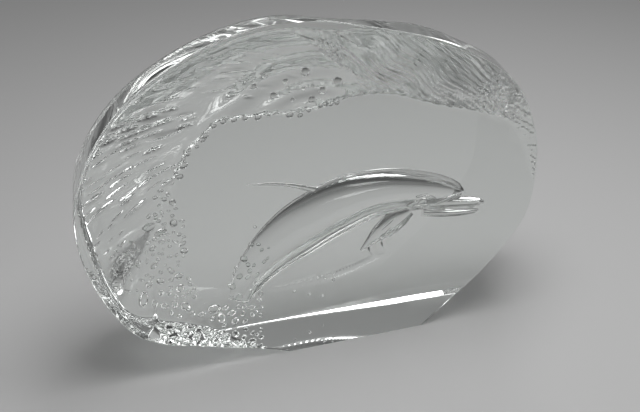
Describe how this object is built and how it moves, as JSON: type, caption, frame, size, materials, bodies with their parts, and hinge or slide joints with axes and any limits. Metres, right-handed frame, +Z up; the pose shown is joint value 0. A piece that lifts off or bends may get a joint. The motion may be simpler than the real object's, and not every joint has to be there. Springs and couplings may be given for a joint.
{
  "type": "glass dolphin sculpture",
  "caption": "Clear cast glass block with a curling wave and a leaping dolphin sunk into its back, standing on its ground base.",
  "frame": {"origin": "middle of the overall box at the base, on the surface that the block stands on", "axes": "+X to the right across the flat front, +Y from the front to the moulded back, +Z up"},
  "size_m": [0.1838, 0.044, 0.1224],
  "materials": {
    "clear_glass": "polished"
  },
  "bodies": {
    "root": {"dolphin_sculpture": "clear_glass"}
  },
  "joints": []
}
